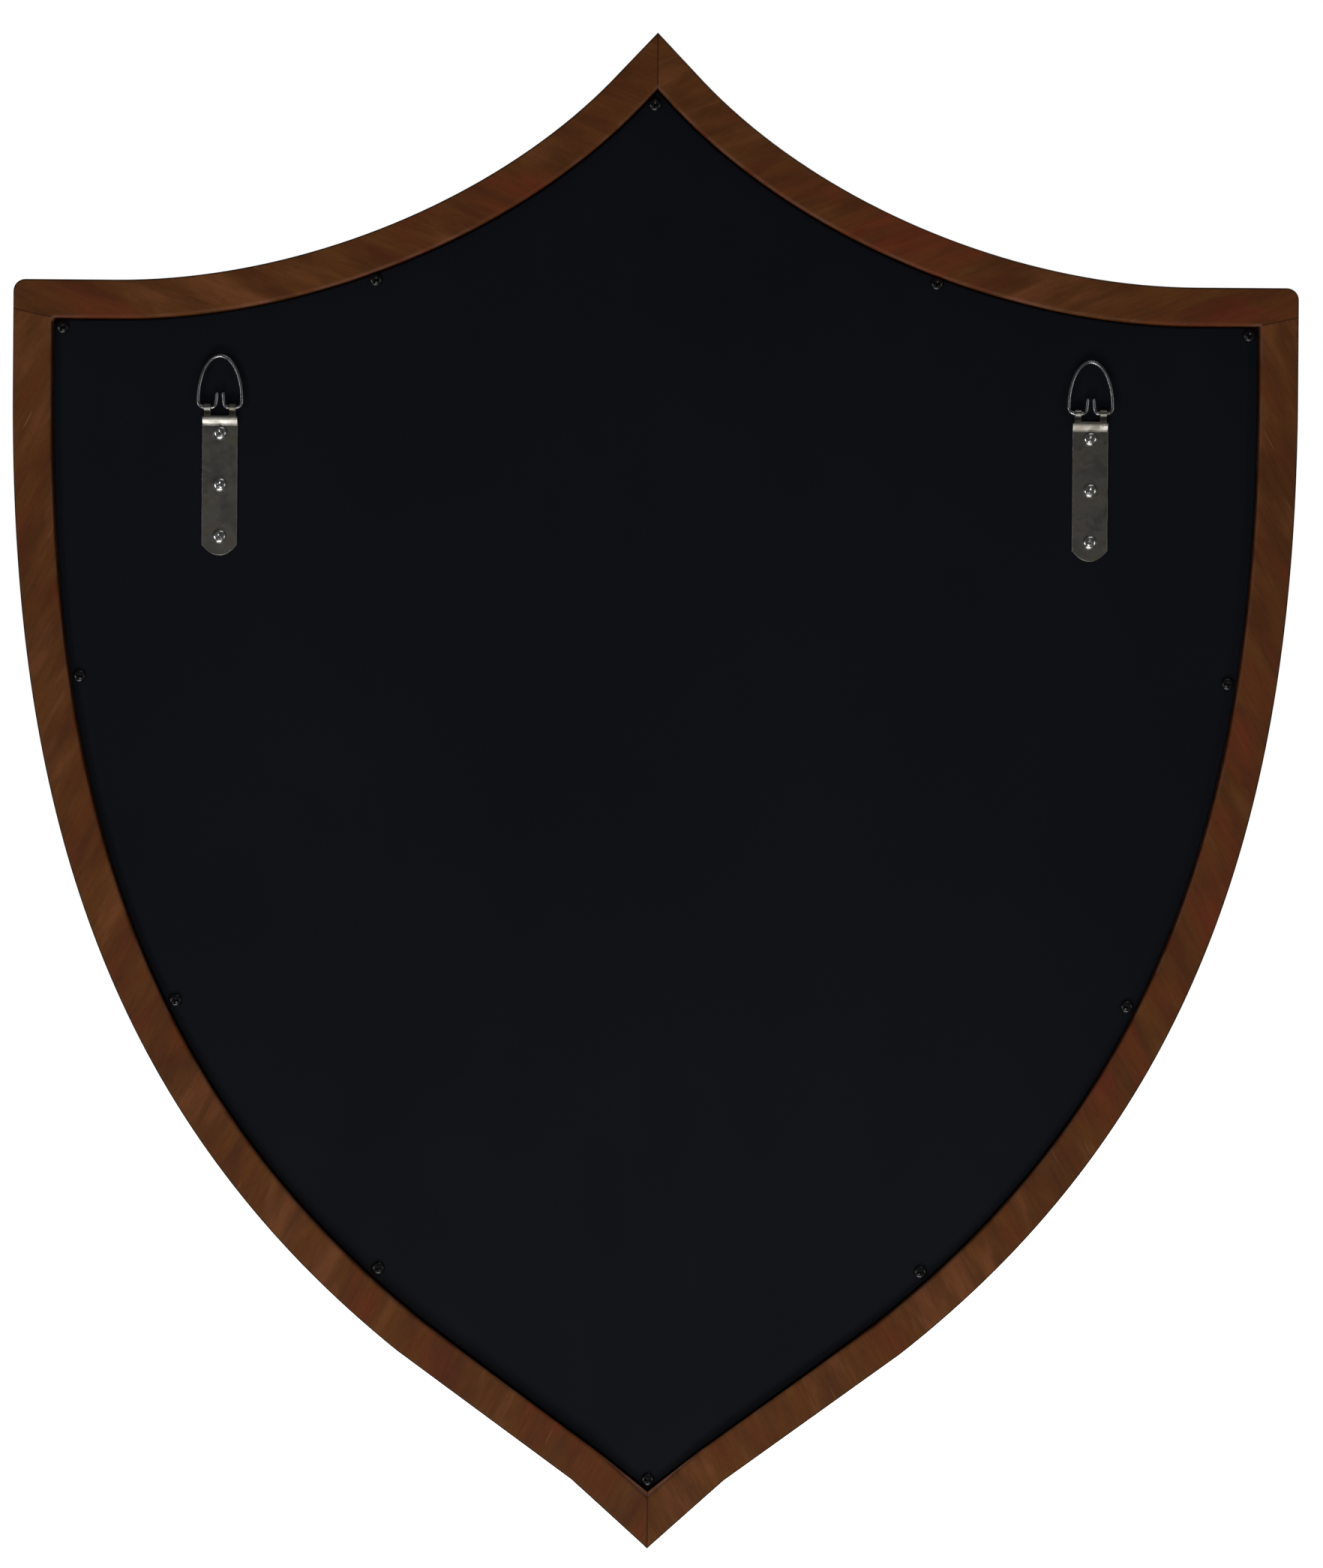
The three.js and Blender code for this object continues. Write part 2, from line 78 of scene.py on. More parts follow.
# ---- the shield, as the CAD parts have it ------------------------------------------------------

HALF_WIDTH = cad_high.x / MM
LOWEST_Z, HIGHEST_Z = cad_low.z / MM, cad_high.z / MM
HEIGHT = 696  # from the sharp apex to the sharp tip
SAW_GAP = 0.2  # a glue line's width, which takes the very apex away
SHOULDER_DROP = 115.3  # a drop is a distance down from the sharp apex
CORNER_RADIUS = 5.5
INNER_ROUND = {"left": 0.8, "right": 2.4}  # wear of the frame's inner shoulder corners
PEAK_END = (17, 18)  # distance out and drop, where the hollow brow curve starts
APEX_Z = HIGHEST_Z + SAW_GAP / 2 * PEAK_END[1] / PEAK_END[0]
BROW_CURVE = [PEAK_END, (70.8, 76.8), (164, SHOULDER_DROP), (247.5, SHOULDER_DROP)]
SIDE_CURVE = [(HALF_WIDTH, 165), (HALF_WIDTH, 343), (257, 493.5), (115.5, 606)]
TIP_BEND = (35, 664.5)  # below it the outer edge is drawn out to the tip
INNER_TIP_DROP = 692  # where the straight runs would meet without that bend
BROW_STEPS = 40
SIDE_STEPS = 72
CORNER_STEPS = 8
NEARLY_ZERO = 1e-4

# Depths, as y values from the wall.
FRONT_Y = cad_low.y / MM
LEDGE_Y, BOARD_BACK_Y = (corner.y for corner in node_box("back_board"))
LIP_Y = node_box("front_panel")[0].y

# Insets from the outer outline.
BOARD_INSET = HALF_WIDTH - node_box("back_board")[1].x
PANEL_INSET = HALF_WIDTH - node_box("front_panel")[1].x
LAND_WIDTH = 17.5  # the flat back that meets the wall
LEDGE_END = 27.5
SIGHT_INSET = 33.5  # the opening in the front

# The moulded front: two quarter ellipses, and a small fillet beside each.
OVOLO_WIDTH, OVOLO_HEIGHT, OVOLO_DEPTH = 8, 6.5, 8
COVE_WIDTH, COVE_HEIGHT = 7, 3
FILLET = 1
QUARTER_STEPS = 9

# How far the edges of the section, the board and the panel are eased.
SIDE_EASE, CROWN_EASE, LIP_EASE, LEDGE_EASE = 0.35, 0.4, 0.3, 0.4
BOARD_SIDE_EASE, WALL_SIDE_EASE = 1.5, 1.0  # the land's edges, next to the board and outermost
BOARD_EASE, PANEL_EASE = 0.7, 0.3
GUARD = 0.35  # how far beside an eased edge its flat is held
EASE_STEPS = 4

# The line where a side rail butts under a top rail, as distance out and drop.
BUTT_OUTER = (HALF_WIDTH, 128.9)
BUTT_INNER = (HALF_WIDTH - SIGHT_INSET, 136.3)
BUTT_SLOPE = (BUTT_INNER[1] - BUTT_OUTER[1]) / (BUTT_OUTER[0] - BUTT_INNER[0])
CLEAR_OF_FRAME = 10  # how far a cutting shape reaches past the frame
INNER_REACH = 30  # how far below the butt joint a top rail's inner corner may lie

OVERCUT = 1  # how far a drill starts and ends outside the piece that it cuts
DRILL_SIDES = 40
PILOT_RADIUS = 1.8
PILOT_DEPTH = 10.6  # below the board's back, before the overcut

SMOOTH_ANGLE = 32  # degrees. Faces that meet at a sharper angle are creased.
BEVEL_ANGLE = 40  # degrees. Edges sharper than this are rounded.
SAME_POINT = 1e-7  # metres


# ---- mesh helpers --------------------------------------------------------------------------------

def creased(mesh, angle):
    mesh.shade_smooth()
    mesh.set_sharp_from_angle(angle=math.radians(angle))


def finished(name, bm, smooth_angle=SMOOTH_ANGLE):
    """A smooth-shaded object from a bmesh, with creases where its faces meet at a sharp angle."""
    bmesh.ops.remove_doubles(bm, verts=bm.verts, dist=SAME_POINT)
    bmesh.ops.dissolve_degenerate(bm, edges=bm.edges, dist=SAME_POINT)
    bmesh.ops.recalc_face_normals(bm, faces=bm.faces)
    mesh = bpy.data.meshes.new(name)
    bm.to_mesh(mesh)
    bm.free()
    creased(mesh, smooth_angle)
    return linked(name, mesh)


def linked(name, data):
    """A new object in the scene."""
    made = bpy.data.objects.new(name, data)
    bpy.context.scene.collection.objects.link(made)
    return made


def carried_out(made):
    """Makes the object's modifiers part of its mesh."""
    graph = bpy.context.evaluated_depsgraph_get()
    mesh = bpy.data.meshes.new_from_object(made.evaluated_get(graph))
    made.modifiers.clear()
    made.data = mesh
    return mesh


def combined(made, tool, operation, smooth_angle=SMOOTH_ANGLE):
    """Cuts the object by, keeps it within, or joins it with a tool, which is used up."""
    modifier = made.modifiers.new(operation, "BOOLEAN")
    modifier.operation = operation
    modifier.solver = "EXACT"
    modifier.object = tool
    bpy.context.view_layer.update()
    creased(carried_out(made), smooth_angle)
    bpy.data.objects.remove(tool)


def eased(made, width, segments):
    """Rounds the object's sharp edges."""
    modifier = made.modifiers.new("ease", "BEVEL")
    modifier.width = width * MM
    modifier.segments = segments
    modifier.limit_method = "ANGLE"
    modifier.angle_limit = math.radians(BEVEL_ANGLE)
    modifier.harden_normals = False
    bpy.context.view_layer.update()
    creased(carried_out(made), SMOOTH_ANGLE)


def flat_shaded(made):
    """Keeps large flat faces flat beside their rounded edges."""
    modifier = made.modifiers.new("flat", "WEIGHTED_NORMAL")
    modifier.keep_sharp = True
    carried_out(made)


def skin(bm, loops):
    """A closed solid over successive loops of points."""
    rows = [[bm.verts.new(point) for point in loop] for loop in loops]
    count = len(rows[0])
    for low, high in zip(rows, rows[1:]):
        for i in range(count):
            j = (i + 1) % count
            bm.faces.new((low[i], low[j], high[j], high[i]))
    bm.faces.new(list(reversed(rows[0])))
    bm.faces.new(rows[-1])


def turned(profile, sides, wobble=None):
    """Loops round the Y axis through a profile of (radius, y) points, in millimetres."""
    loops = []
    for radius, y in profile:
        loop = []
        for k in range(sides):
            angle = 2 * math.pi * k / sides
            r = radius + (wobble(angle, y) if wobble else 0)
            loop.append(Vector((r * math.cos(angle), y, r * math.sin(angle))) * MM)
        loops.append(loop)
    return loops


def prism(name, corners, back_y, front_y):
    """A straight-sided solid along Y over corners given as (x, z), in millimetres."""
    bm = bmesh.new()
    skin(bm, [[Vector((x, y, z)) * MM for x, z in corners] for y in (front_y, back_y)])
    return finished(name, bm)


def drills(name, places, radius, back_y, front_y):
    """One tool of several drills along Y, overcut at both ends."""
    ends = [(radius, front_y - OVERCUT), (radius, back_y + OVERCUT)]
    bm = bmesh.new()
    for x, z in places:
        centre = Vector((x, 0, z)) * MM
        loops = turned(ends, DRILL_SIDES)
        skin(bm, [[point + centre for point in loop] for loop in loops])
    return finished(name, bm)


# ---- outlines --------------------------------------------------------------------------------------

def bezier(points, steps):
    """Points on a cubic curve."""
    a, b, c, d = (Vector(point) for point in points)
    curve = []
    for k in range(steps + 1):
        t = k / steps
        s = 1 - t
        curve.append(s ** 3 * a + 3 * s * s * t * b + 3 * s * t * t * c + t ** 3 * d)
    return curve


def half_outline(drawn_out):
    """The shield's right half with a sharp shoulder, as (distance out, drop) from apex to tip."""
    knuckle = SIDE_CURVE[-1]
    on_straight = INNER_TIP_DROP + (knuckle[1] - INNER_TIP_DROP) * TIP_BEND[0] / knuckle[0]
    return [
        Vector((0, 0)),
        *bezier(BROW_CURVE, BROW_STEPS),
        Vector((HALF_WIDTH, SHOULDER_DROP)),
        *bezier(SIDE_CURVE, SIDE_STEPS),
        Vector(TIP_BEND if drawn_out else (TIP_BEND[0], on_straight)),
        Vector((0, HEIGHT if drawn_out else INNER_TIP_DROP)),
    ]


def moved_corner(before, corner, after, inset):
    """Where a corner goes when both its edges move inwards."""
    def inward(a, b):
        along = (b - a).normalized()
        return Vector((-along.y, along.x))
    first, second = inward(before, corner), inward(corner, after)
    return corner + (first + second) * (inset / (1 + first.dot(second)))


def rounded_shoulder(corner, radius):
    """A quarter circle inside the shoulder's square corner."""
    points = []
    for k in range(CORNER_STEPS + 1):
        angle = math.pi / 2 * (1 - k / CORNER_STEPS)
        across = radius * (1 - math.cos(angle))
        points.append(corner + Vector((-across, radius * (1 - math.sin(angle)))))
    return points


def on_centre_line(outside, inside):
    """Where the line between two points either side of x = 0 crosses it."""
    return outside.lerp(inside, -outside.x / (inside.x - outside.x))


def half_path(inset, inner_round):
    """The half outline moved inwards, as (distance out, z), with as many points at every inset."""
    half = half_outline(inset < LAND_WIDTH)
    mirror = Vector((-1, 1))
    moved = []
    for i, point in enumerate(half):
        before = half[i - 1] if i else half[1] * mirror
        after = half[i + 1] if i + 1 < len(half) else half[i - 1] * mirror
        moved.append(moved_corner(before, point, after, inset))
    shoulder = BROW_STEPS + 2
    radius = max(CORNER_RADIUS - inset, inner_round)
    moved[shoulder:shoulder + 1] = rounded_shoulder(moved[shoulder], radius)
    first = next(i for i, p in enumerate(moved) if p.x > NEARLY_ZERO)
    last = max(i for i, p in enumerate(moved) if p.x > NEARLY_ZERO)
    start = on_centre_line(moved[first - 1], moved[first])
    end = on_centre_line(moved[last + 1], moved[last])
    gathered = [start] * first + moved[first:last + 1] + [end] * (len(moved) - last - 1)
    return [Vector((p.x, min(max(APEX_Z - p.y, LOWEST_Z), HIGHEST_Z))) for p in gathered]


# ---- the frame's section ---------------------------------------------------------------------------

def softened(corners):
    """A closed section, from corners given as (inset, y, distance eased). A guard point stands either
    side of an eased corner, so that the flats beside it stay flat."""
    points = []
    for i, (inset, y, ease) in enumerate(corners):
        corner = Vector((inset, y))
        if not ease:
            points.append(corner)
            continue
        before = (Vector(corners[i - 1][:2]) - corner).normalized()
        after = (Vector(corners[(i + 1) % len(corners)][:2]) - corner).normalized()
        start, end = corner + before * ease, corner + after * ease
        points.append(start + before * GUARD)
        for k in range(EASE_STEPS + 1):
            t = k / EASE_STEPS
            points.append((1 - t) ** 2 * start + 2 * t * (1 - t) * corner + t * t * end)
        points.append(end + after * GUARD)
    return points


def quarter(centre, width, height, from_angle, to_angle):
    """Points on a quarter ellipse, without easing."""
    points = []
    for k in range(QUARTER_STEPS + 1):
        angle = math.radians(from_angle + (to_angle - from_angle) * k / QUARTER_STEPS)
        points.append((centre[0] + width * math.cos(angle), centre[1] + height * math.sin(angle), 0))
    return points


def frame_section():
    """The moulded front, from the outer edge to the opening, and then the rebates and the back."""
    ovolo_end = FILLET + OVOLO_WIDTH
    cove_start = SIGHT_INSET - COVE_WIDTH
    ovolo_y = FRONT_Y + OVOLO_DEPTH
    front = [
        (0, ovolo_y + FILLET, SIDE_EASE),
        *quarter((ovolo_end, ovolo_y), OVOLO_WIDTH, OVOLO_HEIGHT, 180, 270),
        (ovolo_end + FILLET, FRONT_Y, CROWN_EASE),
        (cove_start - FILLET, FRONT_Y, CROWN_EASE),
        *quarter((SIGHT_INSET, FRONT_Y + FILLET), COVE_WIDTH, COVE_HEIGHT, 180, 90),
    ]
    back = [
        (SIGHT_INSET, LIP_Y, LIP_EASE),
        (LEDGE_END, LIP_Y, 0),
        (LEDGE_END, LEDGE_Y, LEDGE_EASE),
        (LAND_WIDTH, LEDGE_Y, 0),
        (LAND_WIDTH, 0, BOARD_SIDE_EASE),
        (0, 0, WALL_SIDE_EASE),
    ]
    return softened(front + back)


def half_frame(hand):
    """One half of the frame in one piece, from the apex to the tip."""
    side = SIDES[hand]
    loops = []
    paths = [(half_path(p.x, INNER_ROUND[hand]), p.y) for p in frame_section()]
    for station in range(len(paths[0][0])):
        loops.append([
            Vector((side * path[station].x, y, path[station].y)) * MM for path, y in paths
        ])
    bm = bmesh.new()
    skin(bm, loops)
    return finished(hand + "_half_frame", bm)


def brow_space(hand):
    """A tool that takes in one top rail, down to its butt joint."""
    clear = CLEAR_OF_FRAME
    beyond = BUTT_OUTER[0] + clear
    lowest = BUTT_INNER[1] + INNER_REACH
    corners = [
        (-clear, -clear), (beyond, -clear), (beyond, BUTT_OUTER[1] - clear * BUTT_SLOPE), BUTT_INNER,
        (BUTT_INNER[0], lowest), (-clear, lowest),
    ]
    flat = [(SIDES[hand] * x, APEX_Z - drop) for x, drop in corners]
    return prism("brow_tool", flat, clear, FRONT_Y - clear)


def rails(hand):
    """One side's top rail and side rail, cut from the same half frame."""
    half = half_frame(hand)
    top = linked(hand + "_top_rail_wood", half.data.copy())
    combined(top, brow_space(hand), "INTERSECT")
    combined(half, brow_space(hand), "DIFFERENCE")
    half.name = hand + "_side_rail_wood"
    return top, half


# ---- board and panel --------------------------------------------------------------------------------

def plate(name, inset, back_y, front_y, ease):
    """A shield-shaped plate with an eased edge at the back."""
    guard = inset + ease + GUARD
    section = [(guard, front_y), (inset, front_y)]
    for k in range(EASE_STEPS + 1):
        angle = k / EASE_STEPS * math.pi / 2
        across, down = ease * (1 - math.cos(angle)), ease * (1 - math.sin(angle))
        section.append((inset + across, back_y - down))
    section.append((guard, back_y))
    bm = bmesh.new()
    loops = []
    for loop_inset, y in section:
        right = half_path(loop_inset, INNER_ROUND["right"])
        left = half_path(loop_inset, INNER_ROUND["left"])
        around = right + [Vector((-p.x, p.y)) for p in reversed(left[1:-1])]
        loops.append([Vector((p.x, y, p.y)) * MM for p in around])
    skin(bm, loops)
    return finished(name, bm)


# ---- materials --------------------------------------------------------------------------------------

JOINT_LINE = 0.6  # how far a glue line's stain reaches into the wood
MITRE_STAIN, BUTT_STAIN = 0.85, 0.75
MIDDLE_Z = -0.2  # the plaque's middle, in metres

# Colours, by their 8-bit display values.
WOOD_TONES = [(0.37, (122, 57, 27)), (0.46, (110, 59, 24)), (0.54, (112, 66, 26)), (0.63, (132, 78, 42))]
# PORE and SCRATCH are marks in the wood; the third colour is a painted highlight for the eased inner
# edge of the frame's back.
PORE, SCRATCH, ARRIS_HIGHLIGHT = (66, 32, 18), (172, 122, 88), (136, 92, 76)
# GLUE_STAIN darkens the joints; the second colour is painted shade along the rounded outer edge of the
# frame's back.
GLUE_STAIN, OUTER_EDGE_SHADE = (58, 24, 10), (40, 34, 16)
BOARD_DARK, BOARD_PALE, BOARD_SCUFF = (16, 18, 25), (20, 22, 30), (40, 42, 48)
STRAP_STEEL, STRAP_STAIN = (152, 149, 142), (116, 108, 94)
RING_STEEL, RING_STAIN = (160, 160, 162), (116, 115, 110)
BRIGHT_STEEL, BRIGHT_STAIN = (206, 206, 204), (160, 158, 150)
OXIDE_DARK, OXIDE_PALE, OXIDE_WORN = (12, 12, 14), (26, 26, 29), (74, 74, 76)
RAW_DARK, RAW_PALE, RAW_LAYER = (176, 134, 88), (214, 176, 126), (128, 88, 54)


class Graph:
    """A material's nodes. Each call adds one node, and takes values or sockets for its inputs."""

    def __init__(self, name):
        self.material = bpy.data.materials.new(name)
        self.material.use_nodes = True
        self.tree = self.material.node_tree
        self.shader = next(n for n in self.tree.nodes if n.type == "BSDF_PRINCIPLED")

    def add(self, kind, inputs=None, **settings):
        node = self.tree.nodes.new("ShaderNode" + kind)
        for name, value in settings.items():
            setattr(node, name, value)
        for name, value in (inputs or {}).items():
            self.put(node.inputs[name], value)
        return node

    def put(self, socket, value):
        if isinstance(value, bpy.types.NodeSocket):
            self.tree.links.new(value, socket)
        else:
            socket.default_value = value

    def surface(self, **inputs):
        for name, value in inputs.items():
            self.put(self.shader.inputs[name.replace("_", " ")], value)
        return self.material

    def place(self, turn=(0, 0, 0), stretch=(1, 1, 1), shift=(0, 0, 0)):
        """Object coordinates, turned and shifted first and then stretched."""
        base = self.add("TexCoord").outputs["Object"]
        spun = self.add("Mapping", {"Vector": base, "Rotation": turn, "Location": shift})
        return self.add("Mapping", {"Vector": spun.outputs[0], "Scale": stretch}).outputs[0]

    def noise(self, vector, scale, detail, rough, warp=0):
        node = self.add("TexNoise", {
            "Vector": vector, "Scale": scale, "Detail": detail, "Roughness": rough,
            "Distortion": warp,
        })
        return node.outputs["Fac"]

    def span(self, value, low, high, to_low=0.0, to_high=1.0):
        """Carries a value smoothly from one range to another, and holds it at the ends."""
        return self.add("MapRange", {
            "Value": value, "From Min": low, "From Max": high, "To Min": to_low, "To Max": to_high,
        }, interpolation_type="SMOOTHSTEP").outputs[0]

    def math(self, operation, a, b):
        node = self.add("Math", operation=operation)
        self.put(node.inputs[0], a)
        self.put(node.inputs[1], b)
        return node.outputs[0]

    def mix(self, share, a, b, blend="MIX"):
        node = self.add("Mix", data_type="RGBA", blend_type=blend, clamp_result=True)
        for socket, value in ((node.inputs[0], share), (node.inputs[6], a), (node.inputs[7], b)):
            self.put(socket, value)
        return node.outputs[2]

    def ramp(self, value, stops):
        node = self.add("ValToRGB", {"Fac": value})
        ends = node.color_ramp.elements
        while len(ends) < len(stops):
            ends.new(0.5)
        for element, (place, colour) in zip(ends, stops):
            element.position = place
            element.color = colour
        return node.outputs["Color"]

    def bump(self, height, strength, depth, under=None):
        inputs = {"Height": height, "Strength": strength, "Distance": depth * MM}
        if under is not None:
            inputs["Normal"] = under
        return self.add("Bump", inputs).outputs["Normal"]


def srgb(red, green, blue):
    """A colour from its 8-bit display values."""
    def linear(value):
        v = value / 255
        return v / 12.92 if v <= 0.04045 else ((v + 0.055) / 1.055) ** 2.4
    return (linear(red), linear(green), linear(blue), 1)


def stained_wood(name, grain_angle, seed, light=1.0, gloss=0.62, figure=0.28, contrast=0.6, scored=0.6,
                 butt_joint=False):
    """Brown stained hardwood. The grain runs at an angle from +X towards +Z, and the lower the figure,
    the longer its streaks. A scored surface has a few pale scratches."""
    g = Graph(name)
    turn = (0, math.radians(grain_angle), 0)
    shift = (seed * 0.37, seed * 0.11, seed * 0.23)

    def pattern(length_share, scale, detail, rough, warp=0):
        """A noise that is drawn out along the grain, the more so the lower its share."""
        return g.noise(g.place(turn, (length_share, 1, 1), shift), scale, detail, rough, warp)

    def tone(red, green, blue):
        return tuple(c * light for c in srgb(red, green, blue)[:3]) + (1,)

    drift = pattern(figure * 2, scale=14, detail=2, rough=0.5, warp=0.3)
    cloud = pattern(figure, scale=85, detail=3, rough=0.55, warp=0.4)
    patch = pattern(figure, scale=105, detail=3, rough=0.5, warp=0.2)
    streak = pattern(0.07, scale=640, detail=3, rough=0.6, warp=0.2)
    fibre = pattern(0.03, scale=2200, detail=2, rough=0.6)
    pores = pattern(0.1, scale=2800, detail=1, rough=0.5)
    scores = pattern(0.035, scale=700, detail=1, rough=0.5)

    hue = g.math("ADD", g.math("MULTIPLY", drift, 0.5), g.math("MULTIPLY", cloud, 0.5))
    stain = g.ramp(hue, [(place, tone(*colour)) for place, colour in WOOD_TONES])
    shade = g.ramp(patch, [(0.34, (0.60, 0.56, 0.52, 1)), (0.6, (1.1, 1.1, 1.1, 1))])
    colour = g.mix(contrast, stain, shade, "MULTIPLY")
    lines = g.ramp(streak, [(0.36, (0.76, 0.70, 0.64, 1)), (0.56, (1, 1, 1, 1))])
    colour = g.mix(0.5, colour, lines, "MULTIPLY")
    open_pore = g.span(pores, 0.6, 0.7)
    colour = g.mix(g.math("MULTIPLY", open_pore, 0.3), colour, tone(*PORE))
    scratch = g.math("MULTIPLY", g.span(scores, 0.735, 0.76), g.span(drift, 0.5, 0.56, 0, scored))
    colour = g.mix(scratch, colour, tone(*SCRATCH))
    colour = g.mix(joint_line(g, butt_joint), colour, tone(*GLUE_STAIN))
    inner, outer = edges(g)
    # A painted highlight along the eased inner edge of the frame's back, broken up by the cloud.
    painted_highlight = g.math("MULTIPLY", inner, g.span(cloud, 0.38, 0.6, 0.05, 0.5))
    colour = g.mix(painted_highlight, colour, tone(*ARRIS_HIGHLIGHT))
    # Painted shade darkens the rounded outer edge of the frame's back.
    colour = g.mix(g.math("MULTIPLY", outer, 0.8), colour, tone(*OUTER_EDGE_SHADE))
    rough = g.span(patch, 0.3, 0.7, gloss - 0.05, gloss + 0.1)
    height = g.math("SUBTRACT", g.math("MULTIPLY", streak, 0.4), g.math("MULTIPLY", open_pore, 0.6))
    relief = g.bump(fibre, 0.12, 0.04, g.bump(height, 0.3, 0.08))
    return g.surface(Base_Color=colour, Roughness=rough, Normal=relief, Specular_IOR_Level=0.2)


def edges(g):
    """How near a point is to the eased edges of the frame's back: next to the board, where a highlight
    is painted, and outermost, where shade is painted.
    """
    depth = g.add("SeparateXYZ", {"Vector": g.place()}).outputs["Y"]
    from_middle = g.place(shift=(0, 0, -MIDDLE_Z))
    facing = g.add("VectorMath", {"Vector": from_middle}, operation="DOT_PRODUCT")
    g.put(facing.inputs[1], g.add("TexCoord").outputs["Normal"])
    outwards = g.span(facing.outputs["Value"], -0.01, 0.01)

    def band(nearest, farthest, end):
        """Full between two depths. It fades towards the wall, and towards its end."""
        fade_in = g.span(depth, 0, -nearest * MM)
        return g.math("MULTIPLY", fade_in, g.span(depth, -end * MM, -farthest * MM))

    # The band next to the board carries the painted highlight.
    wear_and_highlight = band(0.3, 1.3, 2.2)
    inner = g.math("MULTIPLY", wear_and_highlight, g.math("SUBTRACT", 1.0, outwards))
    # The outermost band carries the painted shade.
    painted_shade = band(0.14, 1, 1.8)
    return inner, g.math("MULTIPLY", painted_shade, outwards)


def joint_line(g, butt_joint):
    """How near a point is to a glue line: the mitres on the centre line, and the butt joints."""
    place = g.add("SeparateXYZ", {"Vector": g.place()}).outputs
    out = g.math("ABSOLUTE", place["X"], 0.0)
    line = g.span(out, 0, JOINT_LINE * MM, MITRE_STAIN, 0)
    if butt_joint:
        level = (APEX_Z - BUTT_OUTER[1] - BUTT_SLOPE * HALF_WIDTH) * MM
        on_line = g.math("ADD", g.math("MULTIPLY", out, BUTT_SLOPE), level)
        apart = g.math("ABSOLUTE", g.math("SUBTRACT", place["Z"], on_line), 0.0)
        near = g.span(apart, 0, JOINT_LINE * MM, BUTT_STAIN, 0)
        beyond = g.span(out, (BUTT_INNER[0] - 1) * MM, BUTT_INNER[0] * MM)
        line = g.math("MAXIMUM", line, g.math("MULTIPLY", near, beyond))
    return line


def black_paint():
    """Rolled matt black paint, with a few scuffs."""
    g = Graph("board_paint")
    even = g.place()
    cloud = g.noise(even, scale=5, detail=3, rough=0.5)
    fine = g.noise(even, scale=900, detail=3, rough=0.6)
    rolled = g.noise(g.place(stretch=(1, 1, 0.4)), scale=30, detail=3, rough=0.6)
    colour = g.ramp(cloud, [(0.3, srgb(*BOARD_DARK)), (0.7, srgb(*BOARD_PALE))])
    rub = g.noise(g.place(turn=(0, 0.9, 0), stretch=(0.1, 1, 1)), scale=60, detail=4, rough=0.7)
    colour = g.mix(g.span(rub, 0.70, 0.85, 0, 0.2), colour, srgb(*BOARD_SCUFF))
    rough = g.span(rolled, 0.3, 0.7, 0.5, 0.6)
    relief = g.bump(fine, 0.1, 0.03)
    return g.surface(Base_Color=colour, Roughness=rough, Normal=relief, Specular_IOR_Level=0.1)


def worn_steel(name, clean, stain, roughness, stain_amount, scratch, dents=0.0, seed=0):
    """Plated steel with a faint stain, dark spots, shallow dents and fine upright scratches."""
    g = Graph(name)
    clean, stain = srgb(*clean), srgb(*stain)
    spot = [c * 0.45 for c in stain[:3]] + [1]
    even = g.place(shift=(seed * 0.31, 0, seed * 0.17))
    cloud = g.noise(even, scale=110, detail=4, rough=0.6, warp=0.5)
    spots = g.noise(even, scale=420, detail=2, rough=0.5)
    lines = g.noise(g.place(stretch=(1, 1, 0.04)), scale=2600, detail=3, rough=0.7)
    colour = g.mix(g.span(cloud, 0.4, 0.68, 0, stain_amount), clean, stain)
    colour = g.mix(g.span(spots, 0.68, 0.76, 0, 0.5), colour, spot)
    rough = g.math("ADD", g.span(cloud, 0.3, 0.7, roughness - 0.05, roughness + 0.1),
                   g.math("MULTIPLY", lines, 0.08))
    relief = g.bump(lines, scratch, 0.02, g.bump(spots, 0.12, 0.04))
    if dents:
        relief = g.bump(g.noise(even, scale=210, detail=2, rough=0.5), 1.0, dents, relief)
    return g.surface(Base_Color=colour, Metallic=1.0, Roughness=rough, Normal=relief)


def black_oxide():
    """Blackened steel, with the black worn off its sharpest edges."""
    g = Graph("black_screw_finish")
    cloud = g.noise(g.place(), scale=700, detail=3, rough=0.6)
    colour = g.ramp(cloud, [(0.3, srgb(*OXIDE_DARK)), (0.7, srgb(*OXIDE_PALE))])
    wear_and_highlight = g.span(g.add("NewGeometry").outputs["Pointiness"], 0.54, 0.62, 0, 0.5)
    colour = g.mix(wear_and_highlight, colour, srgb(*OXIDE_WORN))
    return g.surface(Base_Color=colour, Metallic=0.3, Roughness=g.span(cloud, 0.3, 0.7, 0.26, 0.4),
                     Normal=g.bump(cloud, 0.1, 0.03), Coat_Weight=0.2)


def bare_wood(name, layers=0):
    """Unstained wood of the hidden keys and dowels. Plywood has layers through its thickness."""
    g = Graph(name)
    fibre = g.noise(g.place(stretch=(0.08, 1, 1)), scale=600, detail=3, rough=0.6)
    colour = g.ramp(fibre, [(0.3, srgb(*RAW_DARK)), (0.7, srgb(*RAW_PALE))])
    if layers:
        wave = g.add("TexWave", {"Vector": g.place(), "Scale": layers}, bands_direction="Y")
        colour = g.mix(g.span(wave.outputs["Fac"], 0.4, 0.6, 0, 0.4), colour, srgb(*RAW_LAYER))
    return g.surface(Base_Color=colour, Roughness=g.span(fibre, 0.3, 0.7, 0.6, 0.8),
                     Normal=g.bump(fibre, 0.3, 0.08))


# ---- fasteners --------------------------------------------------------------------------------------

